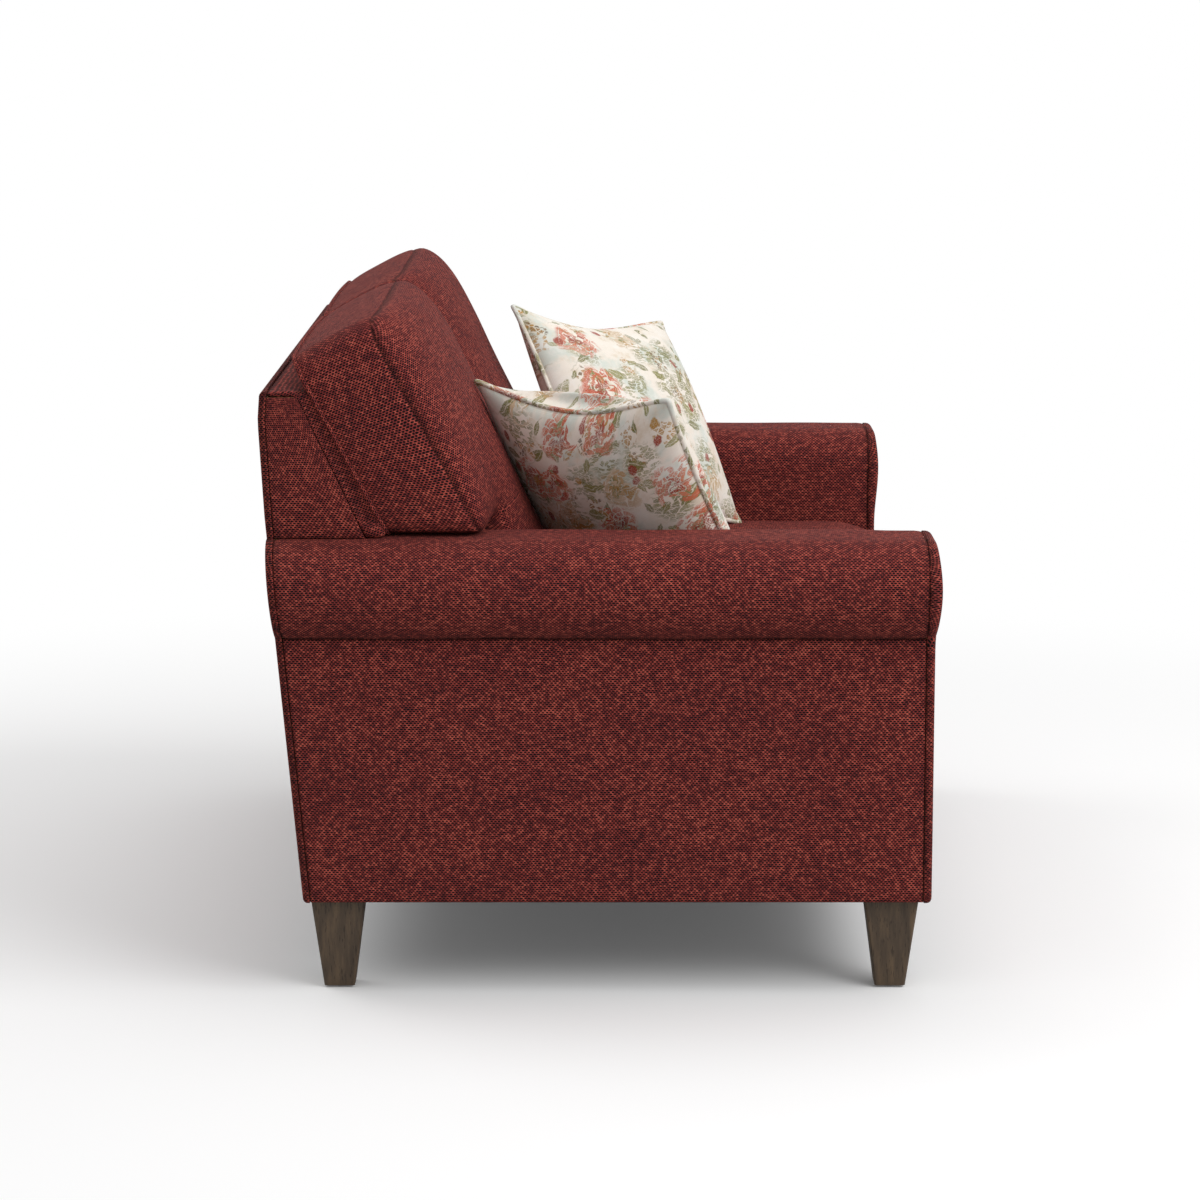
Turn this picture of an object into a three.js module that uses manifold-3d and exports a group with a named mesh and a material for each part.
// A two-seat rolled arm sofa: hardwood frame, sprung seat, upholstered arms and back,
// loose seat and back cushions and two throw pillows.
// Millimetres, +X along the length, -Y to the front, +Z up, origin on the floor under the middle.
import * as THREE from 'three';
import { mergeVertices } from 'three/addons/utils/BufferGeometryUtils.js';
import Module from 'manifold-3d';

const wasm = await Module();
wasm.setup();

// Driving dimensions
const overallLength = 1480;
const overallDepth = 973;
const bodyBottom = 136;
const deckHeight = 350;
const seatHeight = 518;
const armHeight = 661;
const armWidth = 213;
const rollRadius = 73;
const rollOverhang = 40;
const innerArmRound = 60;
const backRise = 211;
const backTopDepth = 48.3;
const frameRecline = THREE.MathUtils.degToRad(25.3);
const cushionRecline = THREE.MathUtils.degToRad(28);

// Clearances and stock thicknesses
const clearance = 0.3;
const softGap = 0.6;
const ply = 18;
const board = 25;
const coverThickness = 6;
const dustCoverThickness = 2;
const backPanelThickness = 10;
const overrun = 60;
const mergeDistance = 0.0001;

// The outside back leans in two stretches and turns over at its top edge
const rearLine = { footSet: 58.5, kinkSet: 8, kinkDrop: 182, shoulderDrop: 42, topSet: 3, topRound: 8, roundSteps: 3 };

// Arm section, in distance outward from the seat side of the arm
const arm = { padding: 14, facingBack: 20.2, arcSteps: 7, rollSteps: 18, legSteps: 4 };
const facing = { thickness: 12, round: 9, roundSteps: 3, rollBulge: 6, bulgeHeight: 597, bulgeReach: 95 };
const armRail = { thickness: 22, innerSet: 26, topSet: 28, tackDepth: 62 };

// Base frame
const baseRail = { height: 120, deckDrop: 25 };
const corner = { size: 100, depth: 45.6, cut: 45 };
const seatRail = { set: 16, depth: 84 };
const brace = { thickness: 25, depth: 70, drop: 25 };

// Back frame
const backRail = { thickness: 22, width: 62, topGap: 1.1, lowerLift: 23 };
const centrePost = { width: 22, depth: 45 };
const post = { railGap: 10, coverGap: 0.3 };
const webbing = { thickness: 2.4, width: 50, verticals: 8, sideSet: 67, armSet: 14 };
const strapHeightShares = { low: [0.42, 0.84], high: [0, 0.46] };
const backPad = { lip: 8, lowThickness: 34, edgeDepth: 9, crownReach: 80, crownDepth: 60, crownSteps: 6, topRound: 14 };

// Springs and deck
const spring = { wire: 3.6, count: 4, waves: 9, swing: 21, seatOn: 7, steps: 36 };
const deckPad = { thickness: 8 };

// Legs, glides and leg bolts
const leg = { top: 78, foot: 44, chamfer: 2.5, sideInset: 20, frontSet: 25.7, rearSet: 20.3 };
const bolt = { radius: 4, hold: 34, cover: 4.2, play: 0.5, sides: 12 };
const glide = { radius: 12, height: 3, round: 1, nailRadius: 1.8, nailReach: 12, sides: 20 };

// Cushions and pillows
const frontBorder = { thickness: 25, set: 13.5, round: 10 };
const seatCushion = {
  crown: 18, frontSet: 6.5, frontDrop: 11, frontReach: 70, rearDrop: 7, bulge: 6.5,
  edge: 9, cornerCut: 26, arcSteps: 3, sideSteps: 7,
};
const backCushion = {
  lead: 23.5, thickness: 117, crown: 77, topHeight: 913, wing: 118, edge: 8, bulge: 5,
  topCut: 44, topBow: 12, bowCut: 150, innerCut: 26, wingCut: 28, notchCut: 12, footCut: 20, arcSteps: 3, sideSteps: 4,
};
const pillow = { size: 394, sag: 15, depth: 74, cells: 14, nestle: 10, nestleStep: 1 };
const pillowSwellShare = 0.55;
const pillowPlaces = {
  left: { fromArm: 149, fromRear: 183, turn: 46.6, lean: 32.2, tilt: -0.6 },
  right: { fromArm: 157, fromRear: 201, turn: -34.9, lean: 32.6, tilt: -9.8 },
};
const cushionRingShares = [0.965, 0.87, 0.68, 0.4];
const backRingShares = [0.95, 0.84, 0.68, 0.48, 0.24];
const backOvalShares = { width: 0.46, height: 0.5, power: 2 };
const facingRingShares = [0.72, 0.38];
const facingMiddleShare = 1.6;
const backMiddleShares = { width: 0.55, height: 0.22 };
const wallTopShare = 0.8;
const crownPowerShare = 5;
const plumpPowerShare = 3.8;

// Derived places
const halfLength = overallLength / 2;
const halfDepth = overallDepth / 2;
const backHeight = armHeight + backRise;
const seatHalf = halfLength - armWidth;
const rollU = armWidth - rollRadius;
const panelU = armWidth - rollOverhang;
const creaseHeight = armHeight - rollRadius - Math.sqrt(rollRadius ** 2 - (panelU - rollU) ** 2);
const panelX = seatHalf + panelU;
const facingBackY = -halfDepth + arm.facingBack;
const boardFrontY = facingBackY + clearance;
const boardRearY = boardFrontY + ply;
const frontRailY = boardRearY + clearance;
const frameFloor = bodyBottom + dustCoverThickness + clearance;
const blockTop = frameFloor + corner.depth;
const seatRailTop = deckHeight - baseRail.deckDrop;
const railInnerX = panelX - coverThickness - clearance - board;
const lipBottom = backHeight - backPad.lip;
const deckPadBottom = deckHeight - clearance - deckPad.thickness;
const postOuterX = railInnerX - post.railGap;
const wingX = postOuterX + post.coverGap + coverThickness;
const postInnerX = postOuterX - ply;
const armRailOuter = postInnerX - clearance - seatHalf;

const fabric = { color: 0x6b2f2c, roughness: 0.95, metalness: 0 };
const floral = { color: 0xcfc8be, roughness: 0.9, metalness: 0 };
const legWood = { color: 0x4e4135, roughness: 0.55, metalness: 0 };
const frameWood = { color: 0xc8a878, roughness: 0.75, metalness: 0 };
const steel = { color: 0x8d9094, roughness: 0.4, metalness: 0.9 };
const glidePlastic = { color: 0x1b1b1c, roughness: 0.5, metalness: 0 };
const lining = { color: 0x262427, roughness: 0.95, metalness: 0 };
const padding = { color: 0xd9d2c4, roughness: 0.95, metalness: 0 };
const strapping = { color: 0x5a5148, roughness: 0.9, metalness: 0 };

const sofa = new THREE.Group();

function place(name, geometry, finish, parent = sofa) {
  const mesh = new THREE.Mesh(geometry, new THREE.MeshStandardMaterial(finish));
  mesh.name = name;
  parent.add(mesh);
  return mesh;
}

// Solids and booleans
function toSolid(geometry) {
  const bare = geometry.clone();
  bare.deleteAttribute('normal');
  bare.deleteAttribute('uv');
  const merged = mergeVertices(bare, mergeDistance);
  return new wasm.Manifold(new wasm.Mesh({
    numProp: 3,
    vertProperties: Float32Array.from(merged.attributes.position.array),
    triVerts: Uint32Array.from(merged.index.array),
  }));
}

function toGeometry(solid) {
  const mesh = solid.getMesh();
  const geometry = new THREE.BufferGeometry();
  geometry.setAttribute('position', new THREE.BufferAttribute(mesh.vertProperties, 3));
  geometry.setIndex(new THREE.BufferAttribute(mesh.triVerts, 1));
  return geometry;
}

function cut(geometry, tools) {
  return toGeometry(tools.reduce((solid, tool) => solid.subtract(toSolid(tool)), toSolid(geometry)));
}

function common(first, second) {
  return toGeometry(toSolid(first).intersect(toSolid(second)));
}

function join(parts) {
  const solids = parts.map(toSolid);
  return toGeometry(solids.reduce((whole, solid) => whole.add(solid)));
}

// Prisms along each axis, from an outline in the other two
const unitX = new THREE.Vector3(1, 0, 0);
const unitY = new THREE.Vector3(0, 1, 0);
const unitZ = new THREE.Vector3(0, 0, 1);
const alongX = new THREE.Matrix4().makeBasis(unitY, unitZ, unitX);
const alongY = new THREE.Matrix4().makeBasis(unitX, unitZ, unitY.clone().negate());
const alongZ = new THREE.Matrix4();

function prism(outline, from, to, basis) {
  const shape = new THREE.Shape(outline.map(([a, b]) => new THREE.Vector2(a, b)));
  const geometry = new THREE.ExtrudeGeometry(shape, { depth: to - from, bevelEnabled: false });
  geometry.translate(0, 0, from);
  return geometry.applyMatrix4(basis);
}

const prismX = (outline, from, to) => prism(outline, from, to, alongX);
const prismY = (outline, from, to) => prism(outline, -to, -from, alongY);
const prismZ = (outline, from, to) => prism(outline, from, to, alongZ);

function block([x0, x1], [y0, y1], [z0, z1]) {
  const geometry = new THREE.BoxGeometry(Math.abs(x1 - x0), Math.abs(y1 - y0), Math.abs(z1 - z0));
  return geometry.translate((x0 + x1) / 2, (y0 + y1) / 2, (z0 + z1) / 2);
}

function rod(radius, z0, z1, sides) {
  const geometry = new THREE.CylinderGeometry(radius, radius, z1 - z0, sides);
  geometry.rotateX(Math.PI / 2);
  return geometry.translate(0, 0, (z0 + z1) / 2);
}

// A closed skin through rings of equal length, with a point at each end
function loft(startPoint, rings, endPoint) {
  const count = rings[0].length;
  const points = [startPoint, ...rings.flat(), endPoint];
  const faces = [];
  const at = (ring, i) => 1 + ring * count + (i % count);
  for (let i = 0; i < count; i += 1) {
    faces.push([0, at(0, i + 1), at(0, i)]);
    faces.push([points.length - 1, at(rings.length - 1, i), at(rings.length - 1, i + 1)]);
    for (let ring = 0; ring + 1 < rings.length; ring += 1) {
      faces.push([at(ring, i), at(ring, i + 1), at(ring + 1, i)]);
      faces.push([at(ring, i + 1), at(ring + 1, i + 1), at(ring + 1, i)]);
    }
  }
  return skin(points, faces);
}

// An indexed skin, turned so that its faces point out
function skin(points, faces) {
  const corners = points.map((point) => new THREE.Vector3(...point));
  const volume = faces.reduce((sum, [a, b, c]) => (
    sum + corners[a].dot(new THREE.Vector3().crossVectors(corners[b], corners[c]))
  ), 0);
  const turned = volume < 0 ? faces.map(([a, b, c]) => [a, c, b]) : faces;
  const geometry = new THREE.BufferGeometry();
  geometry.setAttribute('position', new THREE.Float32BufferAttribute(points.flat(), 3));
  geometry.setIndex(turned.flat());
  return geometry;
}

// A closed outline with its corners cut to curves; each corner is [a, b, cut]
function roundedOutline(corners, arcSteps, sideSteps) {
  const count = corners.length;
  const toward = ([ax, ay], [bx, by], reach) => {
    const share = reach / Math.hypot(bx - ax, by - ay);
    return [ax + (bx - ax) * share, ay + (by - ay) * share];
  };
  return corners.flatMap((here, i) => {
    const before = corners[(i + count - 1) % count];
    const after = corners[(i + 1) % count];
    const start = toward(here, before, here[2]);
    const end = toward(here, after, here[2]);
    const next = toward(after, here, after[2]);
    const points = [];
    for (let k = 0; k <= arcSteps; k += 1) {
      const t = k / arcSteps;
      const mix = (c) => (1 - t) ** 2 * start[c] + 2 * t * (1 - t) * here[c] + t ** 2 * end[c];
      points.push([mix(0), mix(1)]);
    }
    for (let k = 1; k < sideSteps; k += 1) {
      const t = k / sideSteps;
      points.push([end[0] + (next[0] - end[0]) * t, end[1] + (next[1] - end[1]) * t]);
    }
    return points;
  });
}

const smooth = (t) => {
  const s = Math.min(Math.max(t, 0), 1);
  return s * s * (3 - 2 * s);
};
const crownShare = (rho, power) => Math.sqrt(Math.max(1 - rho ** power, 0));

// The outside back's outer face, and a layer between two depths inside it
const rearKnots = [
  [bodyBottom, halfDepth - rearLine.footSet],
  [backHeight - rearLine.kinkDrop, halfDepth - rearLine.kinkSet],
  [backHeight - rearLine.shoulderDrop, halfDepth],
  [backHeight, halfDepth - rearLine.topSet],
];

function rearY(z) {
  const i = rearKnots.findIndex(([height]) => z <= height);
  const k = Math.max(i < 0 ? rearKnots.length - 1 : i, 1);
  const [[z0, y0], [z1, y1]] = [rearKnots[k - 1], rearKnots[k]];
  return y0 + ((y1 - y0) * (z - z0)) / (z1 - z0);
}

function rearEdge(depth, z0, z1) {
  const heights = [z0, ...rearKnots.map(([z]) => z).filter((z) => z > z0 && z < z1), z1];
  return heights.map((z) => [rearY(z) - depth, z]);
}

function rearLayer(outerDepth, innerDepth, z0, z1) {
  return [...rearEdge(outerDepth, z0, z1), ...rearEdge(innerDepth, z0, z1).reverse()];
}

// Planes of the reclined back frame and of the back cushions' rear faces
const framePlaneY = (z) => halfDepth - backTopDepth - (backHeight - z) * Math.tan(frameRecline);
const cushionPlaneY = (z) => framePlaneY(backHeight) - backCushion.lead - (backHeight - z) * Math.tan(cushionRecline);
const strapRoom = (webbing.thickness + clearance * 2) / Math.cos(frameRecline);
const padLowFrontY = framePlaneY(deckHeight) - strapRoom - backPad.lowThickness;
const seatRearY = padLowFrontY - softGap;

// The arm's section: up the seat side, over the roll and down the outside panel
function armOutline(inset, panelInset, foot) {
  const points = [];
  for (let k = 0; k < arm.legSteps; k += 1) {
    points.push([inset, foot + ((armHeight - innerArmRound - foot) * k) / arm.legSteps]);
  }
  for (let k = 0; k <= arm.arcSteps; k += 1) {
    const angle = Math.PI - (k / arm.arcSteps) * (Math.PI / 2);
    const reach = innerArmRound - inset;
    points.push([innerArmRound + reach * Math.cos(angle), armHeight - innerArmRound + reach * Math.sin(angle)]);
  }
  const radius = rollRadius - inset;
  const stop = -Math.acos(Math.min((panelU - panelInset - rollU) / radius, 1));
  for (let k = 0; k <= arm.rollSteps; k += 1) {
    const angle = Math.PI / 2 + (stop - Math.PI / 2) * (k / arm.rollSteps);
    points.push([rollU + radius * Math.cos(angle), armHeight - rollRadius + radius * Math.sin(angle)]);
  }
  const knee = points[points.length - 1][1];
  for (let k = 1; k <= arm.legSteps; k += 1) {
    points.push([panelU - panelInset, knee + ((foot - knee) * k) / arm.legSteps]);
  }
  return points;
}

const toSide = (side, outline) => outline.map(([u, z]) => [side * (seatHalf + u), z]);
const span = (side, u0, u1) => [side * (seatHalf + u0), side * (seatHalf + u1)];

// The raked post: its front edge carries the back, its foot stands on the corner block
function postOutline(grow) {
  const boardTop = armHeight - arm.padding;
  const boardDepth = backPanelThickness + ply + clearance * 3;
  const railTop = frameFloor + baseRail.height;
  return [
    [framePlaneY(seatRailTop) - grow, blockTop + clearance - grow],
    [framePlaneY(seatRailTop) - grow, seatRailTop],
    [framePlaneY(lipBottom) - grow, lipBottom - clearance + grow],
    ...rearEdge(backPanelThickness + clearance - grow, boardTop - grow, lipBottom - clearance + grow).reverse(),
    ...rearEdge(boardDepth - grow, railTop + clearance - grow, boardTop - grow).reverse(),
    [rearRailY - board - clearance + grow, railTop + clearance - grow],
    [rearRailY - board - clearance + grow, blockTop + clearance - grow],
  ];
}
const rearRailY = rearY(frameFloor) - backPanelThickness - ply - clearance * 3;

// Base frame: rails, corner blocks, rear seat rail and centre brace
function makeBase() {
  const blockX = railInnerX - clearance - corner.size;
  const railHalf = railInnerX - clearance;
  const notched = (top) => [
    [-blockX + clearance, frameFloor], [blockX - clearance, frameFloor],
    [blockX - clearance, blockTop + clearance], [railHalf, blockTop + clearance],
    [railHalf, top], [-railHalf, top],
    [-railHalf, blockTop + clearance], [-blockX + clearance, blockTop + clearance],
  ];
  place('front_rail', prismY(notched(seatRailTop), frontRailY, frontRailY + board), frameWood);
  const railTop = frameFloor + baseRail.height;
  place('rear_rail', prismY(notched(railTop), rearRailY - board, rearRailY), frameWood);
  const seatRailY = framePlaneY(seatRailTop) + seatRail.set;
  const seatRailX = postInnerX - clearance;
  const seatRailFoot = seatRailTop - seatRail.depth;
  place('rear_seat_rail', block(
    [-seatRailX, seatRailX], [seatRailY, seatRailY + board], [seatRailFoot, seatRailTop],
  ), frameWood);
  const braceTop = seatRailTop - brace.drop;
  place('center_brace', block(
    [-brace.thickness / 2, brace.thickness / 2],
    [frontRailY + board + clearance, seatRailY - clearance],
    [braceTop - brace.depth, braceTop],
  ), frameWood);
  for (const [side, hand] of [[-1, 'left'], [1, 'right']]) {
    place(`side_rail_${hand}`, block(
      [side * railInnerX, side * (railInnerX + board)], [frontRailY, rearRailY], [frameFloor, railTop],
    ), frameWood);
    for (const [end, where, legY] of [
      [frontRailY, 'front', legFrontY],
      [rearRailY, 'rear', legRearY],
    ]) {
      const inward = where === 'front' ? 1 : -1;
      const outline = [
        [side * railHalf, end], [side * blockX, end],
        [side * blockX, end + inward * (corner.size - corner.cut)],
        [side * (blockX + corner.cut), end + inward * corner.size],
        [side * railHalf, end + inward * corner.size],
      ];
      const bore = rod(bolt.radius + bolt.play, frameFloor - overrun, blockTop + overrun, bolt.sides);
      bore.translate(side * legX, legY, 0);
      place(`corner_block_${where}_${hand}`, cut(prismZ(outline, frameFloor, blockTop), [bore]), frameWood);
      makeLeg(`${where}_${hand}`, side * legX, legY);
    }
  }
}

// Tapered square leg with small chamfers, its bolt and its glide
const legX = panelX - leg.sideInset - leg.top / 2;
const legFrontY = frontRailY + leg.frontSet;
const legRearY = rearRailY - leg.rearSet;
function makeLeg(name, x, y) {
  const top = bodyBottom - clearance;
  const foot = glide.height + clearance;
  const ring = (size, z) => {
    const h = size / 2;
    const c = h - leg.chamfer;
    return [[h, -c], [h, c], [c, h], [-c, h], [-h, c], [-h, -c], [-c, -h], [c, -h]].map(([a, b]) => [a, b, z]);
  };
  const body = loft([0, 0, foot], [ring(leg.foot, foot), ring(leg.top, top)], [0, 0, top]);
  const boltBore = rod(bolt.radius + bolt.play, top - bolt.hold - clearance, top + overrun, bolt.sides);
  const nailBore = rod(
    glide.nailRadius + bolt.play, foot - overrun, glide.height + glide.nailReach + clearance, bolt.sides,
  );
  place(`leg_${name}`, cut(body, [boltBore, nailBore]), legWood).position.set(x, y, 0);
  place(`leg_bolt_${name}`, rod(bolt.radius, top - bolt.hold, blockTop - bolt.cover, bolt.sides), steel)
    .position.set(x, y, 0);
  const profile = [
    [0, 0], [glide.radius - glide.round, 0], [glide.radius, glide.round], [glide.radius, glide.height],
    [glide.nailRadius, glide.height], [glide.nailRadius, glide.height + glide.nailReach],
    [0, glide.height + glide.nailReach],
  ].map(([r, z]) => new THREE.Vector2(r, z));
  const body2 = new THREE.LatheGeometry(profile, glide.sides).rotateX(Math.PI / 2);
  place(`glide_${name}`, body2, glidePlastic).position.set(x, y, 0);
}

// Scroll boards and rails inside an arm
function makeArmFrame(side, hand) {
  const outline = toSide(side, armOutline(arm.padding + clearance, coverThickness + clearance, frameFloor));
  place(`arm_front_board_${hand}`, prismY(outline, boardFrontY, boardRearY), frameWood);
  const slab = prismX(
    rearLayer(backPanelThickness + clearance, backPanelThickness + clearance + ply, 0, armHeight),
    -halfLength, halfLength,
  );
  place(`arm_rear_board_${hand}`, common(prismY(outline, 0, halfDepth), slab), frameWood);
  const railEnd = (z) => rearY(z) - backPanelThickness - ply - clearance * 2;
  const railTop = armHeight - armRail.topSet;
  place(`arm_top_rail_${hand}`, block(
    span(side, armRail.innerSet, armRailOuter),
    [frontRailY, railEnd(railTop - armRail.thickness)],
    [railTop - armRail.thickness, railTop],
  ), frameWood);
  const tackU = panelU - coverThickness - clearance;
  const tackTop = creaseHeight - clearance * 2;
  place(`arm_roll_rail_${hand}`, block(
    span(side, tackU - armRail.thickness, tackU),
    [frontRailY, railEnd(tackTop - armRail.tackDepth)],
    [tackTop - armRail.tackDepth, tackTop],
  ), frameWood);
}

// The arm's padded cover: inside arm and roll in one, cut where the frame passes through it
function makeArmCover(side, hand) {
  const inside = arm.padding;
  const railTop = armHeight - armRail.topSet + clearance;
  const railFoot = railTop - armRail.thickness - clearance * 2;
  const railOuter = armRailOuter + clearance;
  const foot = seatRailTop + clearance;
  const skinLine = armOutline(0, 0, foot);
  const section = [
    ...skinLine.slice(0, skinLine.length - arm.legSteps),
    [railOuter, creaseHeight], [railOuter, railTop], [armRail.innerSet - clearance, railTop],
    [armRail.innerSet - clearance, railFoot], [inside, railFoot], [inside, foot],
  ];
  const length = prismY(toSide(side, section), boardFrontY, halfDepth);
  const reach = [
    [boardFrontY - overrun, 0], ...rearEdge(backPanelThickness + clearance, bodyBottom, backHeight),
    [boardFrontY - overrun, backHeight],
  ];
  const pocketLine = toSide(side, armOutline(arm.padding, coverThickness, bodyBottom));
  const frontPocket = prismY(pocketLine, boardFrontY - overrun, boardRearY + clearance);
  const rearPocket = common(prismY(pocketLine, 0, halfDepth), prismX(
    rearLayer(0, backPanelThickness + ply + clearance * 3, 0, armHeight), -halfLength, halfLength,
  ));
  const postSlot = prismX(postOutline(clearance), postInnerX - clearance, postOuterX + clearance);
  const postSlotPlaced = side < 0 ? mirrored(postSlot) : postSlot;
  const backOpening = prismX([
    [framePlaneY(deckHeight - overrun) - strapRoom, deckHeight - overrun],
    [halfDepth, deckHeight - overrun], [halfDepth, railFoot],
    [framePlaneY(railFoot) - strapRoom, railFoot],
  ], ...sorted(span(side, -clearance, inside + clearance)));
  const cover = common(length, prismX(reach, -halfLength - overrun, halfLength + overrun));
  place(`arm_cover_${hand}`, cut(cover, [frontPocket, rearPocket, postSlotPlaced, backOpening]), fabric);
}

const sorted = (pair) => [...pair].sort((a, b) => a - b);

// The same solid on the other side of the sofa
function mirrored(geometry) {
  const solid = toSolid(geometry);
  return toGeometry(solid.mirror([1, 0, 0]));
}

// Padded facing that closes the front of the arm, fuller over the roll
function makeFacing(side, hand) {
  const bulge = (z) => {
    const away = Math.min(Math.abs(z - facing.bulgeHeight) / facing.bulgeReach, 1);
    return facing.rollBulge * (1 + Math.cos(Math.PI * away)) / 2;
  };
  const frontY = facingBackY - facing.thickness;
  const ringAt = (inset, y, share) => (
    toSide(side, armOutline(inset, inset, bodyBottom + inset)).map(([x, z]) => [x, y - bulge(z) * share, z])
  );
  const rings = [ringAt(0, facingBackY, 0)];
  for (let k = 0; k <= facing.roundSteps; k += 1) {
    const angle = (k / facing.roundSteps) * (Math.PI / 2);
    const inset = facing.round * (1 - Math.cos(angle));
    rings.push(ringAt(inset, frontY + facing.round * (1 - Math.sin(angle)), Math.sin(angle)));
  }
  const middle = [side * (seatHalf + rollU - rollRadius / 2), armHeight - rollRadius * facingMiddleShare];
  const edge = rings[rings.length - 1];
  for (const share of facingRingShares) {
    rings.push(edge.map(([x, , z]) => {
      const [px, pz] = [middle[0] + (x - middle[0]) * share, middle[1] + (z - middle[1]) * share];
      return [px, frontY - bulge(pz), pz];
    }));
  }
  const start = [middle[0], facingBackY, middle[1]];
  const end = [middle[0], frontY - bulge(middle[1]), middle[1]];
  place(`arm_facing_${hand}`, loft(start, rings, end), fabric);
}

// Flat outer panel of the arm, tucked up under the roll
function makeOutsideArm(side, hand) {
  const outline = [
    [boardFrontY, bodyBottom],
    ...rearEdge(backPanelThickness + clearance, bodyBottom, creaseHeight - clearance),
    [boardFrontY, creaseHeight - clearance],
  ];
  const x = sorted(span(side, panelU - coverThickness, panelU));
  place(`outside_arm_${hand}`, prismX(outline, ...x), fabric);
}

// Outside back in one panel, with the ends of both rolls in its outline
function makeOutsideBack() {
  const half = armOutline(0, 0, bodyBottom).reverse();
  const rollEnd = half.filter(([u]) => u >= wingX - seatHalf).map(([u, z]) => [seatHalf + u, z]);
  const corners = [...rollEnd, [wingX, armHeight], [wingX, backHeight]];
  const outline = [...corners, ...corners.map(([x, z]) => [-x, z]).reverse()];
  const top = backHeight;
  const round = rearLine.topRound;
  const edge = rearEdge(0, bodyBottom, top - round);
  const arc = Array.from({ length: rearLine.roundSteps }, (_, k) => {
    const angle = ((k + 1) / rearLine.roundSteps) * (Math.PI / 2);
    return [rearY(top) - round * (1 - Math.cos(angle)), top - round * (1 - Math.sin(angle))];
  });
  const side = [...edge, ...arc, ...rearEdge(backPanelThickness, bodyBottom, top).reverse()];
  const panel = common(prismY(outline, 0, halfDepth + overrun), prismX(side, -halfLength, halfLength));
  place('outside_back', panel, fabric);
}

// Border over the front rail, between the facings
function makeFrontBorder() {
  const y0 = -halfDepth + frontBorder.set;
  const y1 = boardRearY;
  const top = deckHeight - clearance;
  const outline = roundedOutline([
    [y1, bodyBottom, clearance], [y1, top, clearance],
    [y0, top, frontBorder.round], [y0, bodyBottom, frontBorder.round],
  ], 3, 1);
  const half = seatHalf - clearance;
  place('front_border', prismX(outline, -half, half), fabric);
}

// Sinuous springs of one seat, tied across with wire into a single set
function makeSprings(side, hand) {
  const railGap = clearance + spring.wire / 2;
  const endZ = seatRailTop + railGap;
  const arch = deckPadBottom - railGap - endZ;
  const seatRailY = framePlaneY(seatRailTop) + seatRail.set;
  const [y0, y1] = [frontRailY + spring.seatOn, seatRailY + board - spring.seatOn];
  const heightAt = (t) => endZ + arch * Math.sin(Math.PI * t);
  const pitch = (seatHalf - clearance) / spring.count;
  const wireLine = [[1, 1], [-1, 1], [-1, -1], [1, -1]].map(([a, b]) => (
    new THREE.Vector2((a * spring.wire) / 2, (b * spring.wire) / 2)
  ));
  const wires = [];
  for (let n = 0; n < spring.count; n += 1) {
    const x = side * pitch * (n + 0.5);
    const bends = spring.waves * 2;
    const points = [];
    for (let k = 0; k <= bends; k += 1) {
      const t = k / bends;
      const swing = k === 0 || k === bends ? 0 : spring.swing;
      points.push(new THREE.Vector3(x + (k % 2 ? swing : -swing), y0 + (y1 - y0) * t, heightAt(t)));
    }
    const path = new THREE.CatmullRomCurve3(points);
    wires.push(new THREE.ExtrudeGeometry(new THREE.Shape(wireLine), {
      steps: spring.steps, extrudePath: path, bevelEnabled: false,
    }));
  }
  for (const share of [1 / 3, 2 / 3]) {
    const [y, z] = [y0 + (y1 - y0) * share, heightAt(share)];
    const reach = [side * (pitch / 2 - spring.swing), side * (pitch * (spring.count - 0.5) + spring.swing)];
    wires.push(block(reach, [y - spring.wire / 2, y + spring.wire / 2], [z - spring.wire / 2, z + spring.wire / 2]));
  }
  place(`seat_springs_${hand}`, join(wires), steel);
}

// Deck pad on the springs and dust cover under the frame
function makeDeck() {
  const half = seatHalf - clearance;
  const rear = framePlaneY(deckPadBottom) - strapRoom;
  place('deck_pad', block([-half, half], [frontRailY, rear], [deckPadBottom, deckHeight - clearance]), padding);
  const x = panelX - coverThickness - clearance;
  const y1 = rearY(bodyBottom) - backPanelThickness - clearance;
  const sheet = block([-x, x], [frontRailY, y1], [bodyBottom, bodyBottom + dustCoverThickness]);
  const holes = [-legX, legX].flatMap((hx) => (
    [legFrontY, legRearY].map((hy) => (
      rod(bolt.radius + bolt.play, bodyBottom - overrun, bodyBottom + overrun, bolt.sides).translate(hx, hy, 0)
    ))
  ));
  place('dust_cover', cut(sheet, holes), lining);
}

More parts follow.
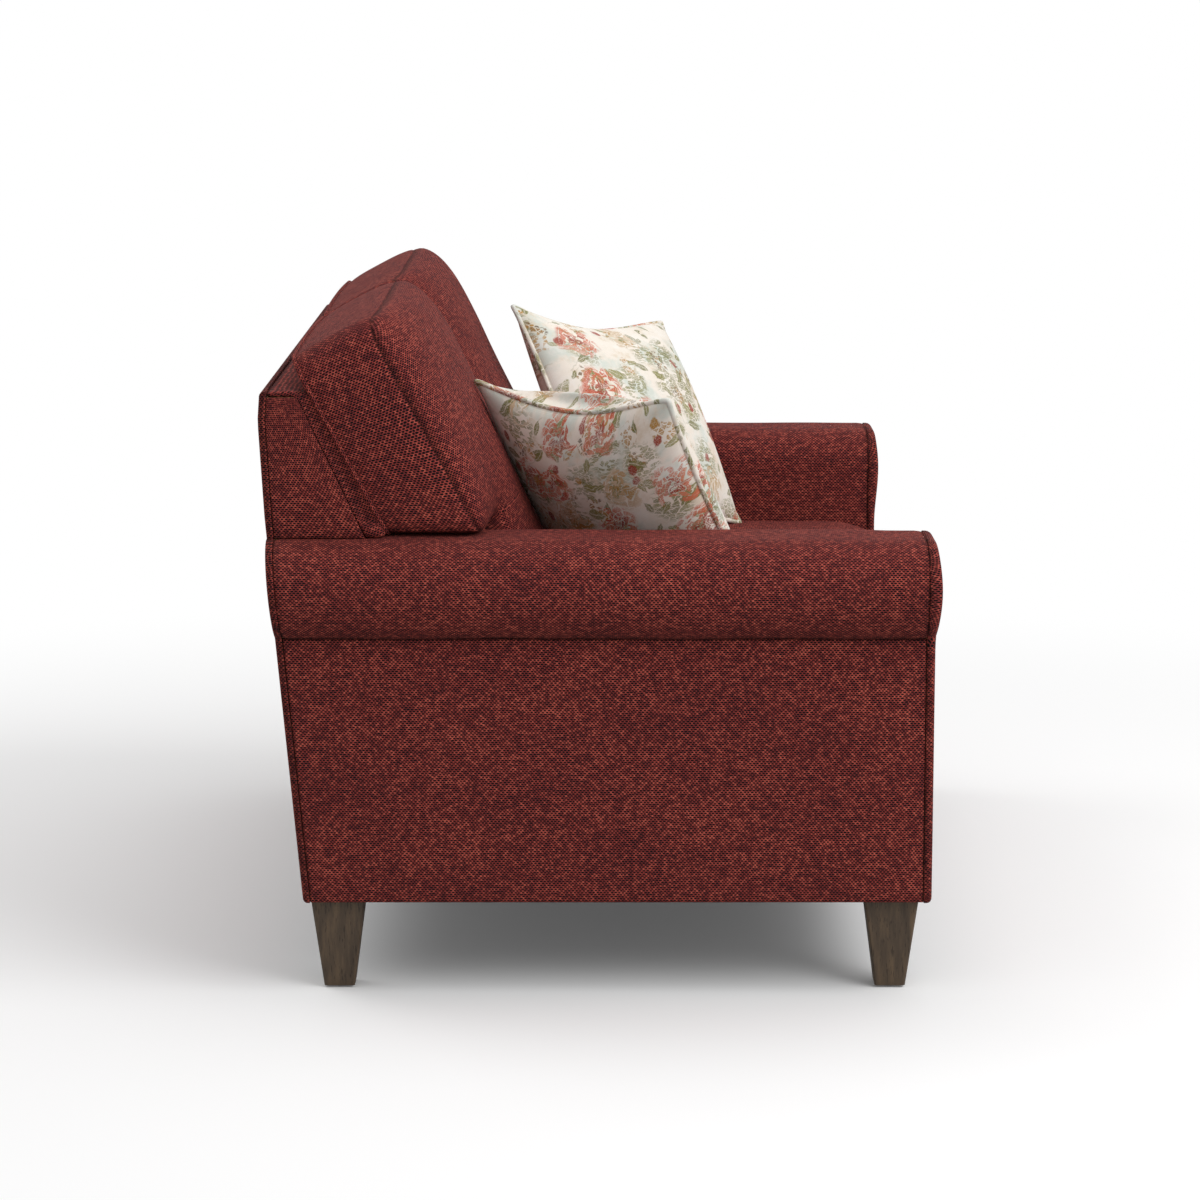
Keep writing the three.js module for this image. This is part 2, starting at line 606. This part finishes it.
// Back frame: posts, rails, centre post and webbing on the reclined plane
function makeBackFrame() {
  const rightPost = prismX(postOutline(0), postInnerX, postOuterX);
  place('back_post_right', rightPost, frameWood);
  place('back_post_left', mirrored(rightPost), frameWood);
  const plane = new THREE.Group();
  plane.position.set(0, framePlaneY(armHeight), armHeight);
  plane.rotation.x = -frameRecline;
  sofa.add(plane);
  const along = (z) => (z - armHeight) / Math.cos(frameRecline);
  const half = postInnerX - clearance;
  const top = along(lipBottom) - backRail.topGap;
  const low = along(seatRailTop + backRail.lowerLift);
  const depth = [0, backRail.thickness];
  place('back_top_rail', block([-half, half], depth, [top - backRail.width, top]), frameWood, plane);
  place('back_lower_rail', block([-half, half], depth, [low, low + backRail.width]), frameWood, plane);
  place('back_center_post', block(
    [-centrePost.width / 2, centrePost.width / 2], [0, centrePost.depth],
    [low + backRail.width + clearance, top - backRail.width - clearance],
  ), frameWood, plane);
  const front = [-clearance - webbing.thickness, -clearance];
  const highFoot = armHeight + webbing.armSet + webbing.width / 2;
  const strapHeights = [
    ...strapHeightShares.low.map((share) => deckHeight + (armHeight - innerArmRound - deckHeight) * share),
    ...strapHeightShares.high.map((share) => highFoot + (backHeight - highFoot) * share),
  ];
  const straps = strapHeights.map((z) => block(
    [-half, half], front, [along(z) - webbing.width / 2, along(z) + webbing.width / 2],
  ));
  for (let n = 0; n < webbing.verticals; n += 1) {
    const x = (seatHalf - webbing.sideSet) * ((2 * n) / (webbing.verticals - 1) - 1);
    straps.push(block([x - webbing.width / 2, x + webbing.width / 2], front, [low, top - webbing.thickness]));
  }
  place('back_webbing', join(straps), strapping, plane);
}

// Padded inside back: a T between and over the arms, crowned towards its sides, with a lip over the top
function makeInsideBack() {
  const foot = deckHeight;
  const back = strapRoom;
  const shoulder = backHeight - backPad.topRound;
  const easing = backPad.topRound * (1 - Math.SQRT1_2);
  const profile = [
    [framePlaneY(foot) - back, foot], [framePlaneY(lipBottom) - back, lipBottom],
    ...rearEdge(backPanelThickness + clearance, lipBottom, backHeight),
    [padFrontY(backHeight) + backPad.topRound, backHeight],
    [padFrontY(backHeight - easing) + easing, backHeight - easing],
    [padFrontY(shoulder), shoulder], [padFrontY(cushionFoot), cushionFoot], [padLowFrontY, foot],
  ];
  const crown = [];
  const flat = wingX - backPad.crownReach;
  for (let k = 0; k <= backPad.crownSteps; k += 1) {
    const angle = (k / backPad.crownSteps) * (Math.PI / 2);
    crown.push([flat + backPad.crownReach * Math.cos(angle), -backPad.edgeDepth - backPad.crownDepth * Math.sin(angle)]);
  }
  const outline = [
    [wingX, backHeight], ...crown, ...crown.map(([x, y]) => [-x, y]).reverse(), [-wingX, backHeight],
  ];
  const shear = new THREE.Matrix4().set(
    1, 0, 0, 0,
    0, 1, Math.tan(frameRecline), framePlaneY(0),
    0, 0, 1, 0,
    0, 0, 0, 1,
  );
  const limits = prismZ(outline, 0, backHeight + overrun).applyMatrix4(shear);
  const arms = [-1, 1].map((side) => (
    prismY(toSide(side, armOutline(-clearance, -overrun, 0)), -halfDepth, halfDepth + overrun)
  ));
  const pad = common(prismX(profile, -wingX, wingX), limits);
  place('inside_back', cut(pad, arms), fabric);
}

// Upholstered side of the raked back, above the arm
function makeWingPanel(side, hand) {
  const foot = armHeight + clearance;
  const top = lipBottom - clearance;
  const outline = [
    [framePlaneY(foot) - strapRoom, foot], [framePlaneY(top) - strapRoom, top],
    ...rearEdge(backPanelThickness + clearance, foot, top).reverse(),
  ];
  const x = sorted([side * (postOuterX + clearance), side * wingX]);
  place(`back_side_panel_${hand}`, prismX(outline, ...x), fabric);
}

// Seat cushions
const seatFrontY = -halfDepth + seatCushion.frontSet;
const seatSeam = seatHeight - seatCushion.crown;
const seatMiddleX = seatHalf / 2;
const seatMiddleY = (seatFrontY + seatRearY) / 2;

function seatDrop(y) {
  const front = smooth((seatFrontY + seatCushion.frontReach - y) / seatCushion.frontReach);
  const rear = smooth((y - seatMiddleY) / (seatRearY - seatMiddleY));
  return seatCushion.frontDrop * front + seatCushion.rearDrop * rear;
}

function seatTop(x, y) {
  const across = Math.abs(Math.abs(x) - seatMiddleX) / (seatHalf / 2);
  const along = Math.abs(y - seatMiddleY) / (seatRearY - seatMiddleY);
  return seatSeam + seatCushion.crown * crownShare(Math.min(Math.max(across, along), 1), crownPowerShare) - seatDrop(y);
}

function makeSeatCushion(side, hand) {
  const line = (inset, bulge) => {
    const x0 = softGap / 2 + inset;
    const x1 = seatHalf - softGap - inset;
    const [y0, y1] = [seatFrontY - bulge + inset, seatRearY - inset];
    return roundedOutline([
      [x0, y0, seatCushion.cornerCut], [x1, y0, seatCushion.cornerCut],
      [x1, y1, seatCushion.cornerCut], [x0, y1, seatCushion.cornerCut],
    ], seatCushion.arcSteps, seatCushion.sideSteps);
  };
  const lift = (outline, height) => outline.map(([x, y]) => [side * x, y, height(x, y)]);
  const wall = seatSeam - deckHeight;
  const rings = [
    lift(line(seatCushion.edge, 0), () => deckHeight),
    lift(line(0, 0), () => deckHeight + seatCushion.edge),
    lift(line(0, seatCushion.bulge), (x, y) => deckHeight + wall / 2 - seatDrop(y) / 2),
    lift(
      line(0, seatCushion.bulge * wallTopShare),
      (x, y) => deckHeight + (wall - seatDrop(y)) * wallTopShare,
    ),
    lift(line(0, 0), (x, y) => seatSeam - seatDrop(y)),
  ];
  const seam = line(0, 0);
  for (const share of cushionRingShares) {
    const ring = seam.map(([x, y]) => [
      seatMiddleX + (x - seatMiddleX) * share, seatMiddleY + (y - seatMiddleY) * share,
    ]);
    const rise = seatCushion.crown * crownShare(share, crownPowerShare);
    rings.push(lift(ring, (x, y) => seatSeam + rise - seatDrop(y)));
  }
  const start = [side * seatMiddleX, seatMiddleY, deckHeight];
  const end = [side * seatMiddleX, seatMiddleY, seatHeight];
  place(`seat_cushion_${hand}`, loft(start, rings, end), fabric);
}

// Back cushions: boxed, plump, and notched so that the outer wing lies over the arm
const footFrontY = cushionPlaneY(seatSeam - seatCushion.rearDrop) - backCushion.thickness / Math.cos(cushionRecline);
const cushionFoot = seatTop(seatMiddleX, footFrontY) + softGap;
const padFrontY = (z) => cushionPlaneY(z) + softGap;

function makeBackCushion(side, hand, leaning) {
  const [sine, cosine] = [Math.sin(cushionRecline), Math.cos(cushionRecline)];
  const alongAt = (z, n) => (z - armHeight - n * sine) / cosine;
  const line = (n, inset, bulge) => {
    const foot = alongAt(cushionFoot, n) + inset;
    const wingFoot = alongAt(armHeight + softGap, n) + inset;
    const top = alongAt(backCushion.topHeight, 0) - inset + bulge;
    const inner = softGap / 2 + inset;
    const notch = seatHalf - softGap - inset;
    const outer = seatHalf + backCushion.wing - inset + bulge;
    return roundedOutline([
      [inner, foot, backCushion.footCut], [notch, foot, backCushion.footCut],
      [notch, wingFoot, backCushion.notchCut], [outer, wingFoot, backCushion.wingCut],
      [outer, top, backCushion.topCut], [(inner + outer) / 2, top + backCushion.topBow, backCushion.bowCut],
      [inner, top, backCushion.innerCut],
    ], backCushion.arcSteps, backCushion.sideSteps);
  };
  const set = (outline, n) => outline.map(([x, s]) => [side * x, -n, s]);
  const middle = [
    seatHalf * backMiddleShares.width, alongAt(backCushion.topHeight, 0) * backMiddleShares.height,
  ];
  const { thickness, edge, bulge, crown } = backCushion;
  const seat = new THREE.Object3D();
  seat.position.set(0, cushionPlaneY(armHeight), armHeight);
  seat.rotation.x = -cushionRecline;
  seat.updateMatrixWorld();
  const rest = leaning.matrixWorld.clone().invert();
  const inward = new THREE.Vector3(0, cosine, -sine);
  const press = ([x, y, s]) => {
    const point = new THREE.Vector3(x, y, s).applyMatrix4(seat.matrixWorld);
    return [x, y + pressedIn(point, inward, rest), s];
  };
  const rings = [
    set(line(0, edge, 0), 0),
    set(line(edge, 0, 0), edge),
    set(line(thickness / 2, 0, bulge), thickness / 2),
    set(line(thickness, 0, 0), thickness),
  ];
  const seam = line(thickness, 0, 0);
  const oval = [seatHalf * backOvalShares.width, (backCushion.topHeight - seatHeight) * backOvalShares.height];
  for (const share of backRingShares) {
    const round = 1 - share ** backOvalShares.power;
    const ring = seam.map(([x, s]) => {
      const [dx, ds] = [x - middle[0], s - middle[1]];
      const even = 1 / Math.hypot(dx / oval[0], ds / oval[1]);
      const reach = share * (1 - round + Math.min(even, 1) * round);
      return [middle[0] + dx * reach, middle[1] + ds * reach];
    });
    rings.push(set(ring, thickness + crown * crownShare(share, plumpPowerShare)).map(press));
  }
  const start = [side * middle[0], 0, middle[1]];
  const end = press([side * middle[0], -thickness - crown, middle[1]]);
  const mesh = place(`back_cushion_${hand}`, loft(start, rings, end), fabric);
  mesh.position.copy(seat.position);
  mesh.rotation.copy(seat.rotation);
}

const pillowSwell = (a, b) => pillow.depth * (Math.max(1 - a * a, 0) * Math.max(1 - b * b, 0)) ** pillowSwellShare;

// How far a point of the cushion's front gives way to the pillow that leans on it
function pressedIn(point, inward, rest) {
  const reach = pillow.size / 2 + pillow.nestle * 2;
  const local = new THREE.Vector3();
  let give = 0;
  for (; give < backCushion.thickness; give += pillow.nestleStep) {
    local.copy(inward).multiplyScalar(give).add(point).applyMatrix4(rest);
    const [a, b] = [local.x / reach, local.z / reach];
    const swell = pillowSwell(a, b);
    if (swell === 0 || local.y > swell + pillow.nestle) break;
  }
  return give;
}

// Throw pillows: knife-edged, with sides drawn in between the corners, settled onto the seat
function makePillow(side, hand) {
  const { size, sag, cells } = pillow;
  const half = size / 2;
  const at = (i, j) => {
    const [a, b] = [(2 * i) / cells - 1, (2 * j) / cells - 1];
    const x = a * (half - sag * (1 - b * b) * Math.abs(a));
    const z = b * (half - sag * (1 - a * a) * Math.abs(b));
    return [x, z, pillowSwell(a, b)];
  };
  const points = [];
  const faces = [];
  for (const face of [-1, 1]) {
    const base = points.length;
    for (let i = 0; i <= cells; i += 1) {
      for (let j = 0; j <= cells; j += 1) {
        const [x, z, swell] = at(i, j);
        points.push([x, face * swell, z]);
      }
    }
    for (let i = 0; i < cells; i += 1) {
      for (let j = 0; j < cells; j += 1) {
        const [p, q] = [base + i * (cells + 1) + j, base + (i + 1) * (cells + 1) + j];
        const [r, s] = [p + 1, q + 1];
        const quads = (i < cells / 2) === (j < cells / 2) ? [[p, q, s], [p, s, r]] : [[p, q, r], [q, s, r]];
        faces.push(...quads.map(([a, b, c]) => (face < 0 ? [a, b, c] : [a, c, b])));
      }
    }
  }
  const geometry = mergeVertices(skin(points, faces), mergeDistance);
  const spot = pillowPlaces[hand];
  const mesh = place(`pillow_${hand}`, geometry, floral);
  mesh.rotation.set(
    THREE.MathUtils.degToRad(-spot.lean), THREE.MathUtils.degToRad(-spot.tilt),
    THREE.MathUtils.degToRad(spot.turn), 'ZXY',
  );
  mesh.position.set(side * (seatHalf - spot.fromArm), seatRearY - spot.fromRear, seatHeight + half);
  const worldPoints = () => {
    mesh.updateMatrixWorld();
    const { position } = geometry.attributes;
    return Array.from({ length: position.count }, (_, i) => (
      new THREE.Vector3().fromBufferAttribute(position, i).applyMatrix4(mesh.matrixWorld)
    ));
  };
  const lower = () => {
    const above = worldPoints().filter(({ x }) => Math.abs(x) < seatHalf).map(({ x, y, z }) => z - seatTop(x, y));
    mesh.position.z -= Math.min(...above) - softGap;
  };
  lower();
  const past = worldPoints().map(({ x, z }) => side * x - armInnerX(z) + softGap);
  mesh.position.x -= side * Math.max(...past, 0);
  lower();
  mesh.updateMatrixWorld();
  return mesh;
}

// How far out a pillow may reach beside the arm at a height
function armInnerX(z) {
  const rise = Math.min(Math.max(z - armHeight + innerArmRound, 0), innerArmRound);
  return z > armHeight + softGap ? halfLength : seatHalf + innerArmRound - Math.sqrt(innerArmRound ** 2 - rise ** 2);
}

makeBase();
makeBackFrame();
makeDeck();
makeFrontBorder();
makeOutsideBack();
makeInsideBack();
for (const [side, hand] of [[-1, 'left'], [1, 'right']]) {
  makeArmFrame(side, hand);
  makeArmCover(side, hand);
  makeFacing(side, hand);
  makeOutsideArm(side, hand);
  makeWingPanel(side, hand);
  makeSprings(side, hand);
  makeSeatCushion(side, hand);
  makeBackCushion(side, hand, makePillow(side, hand));
}

export default sofa;
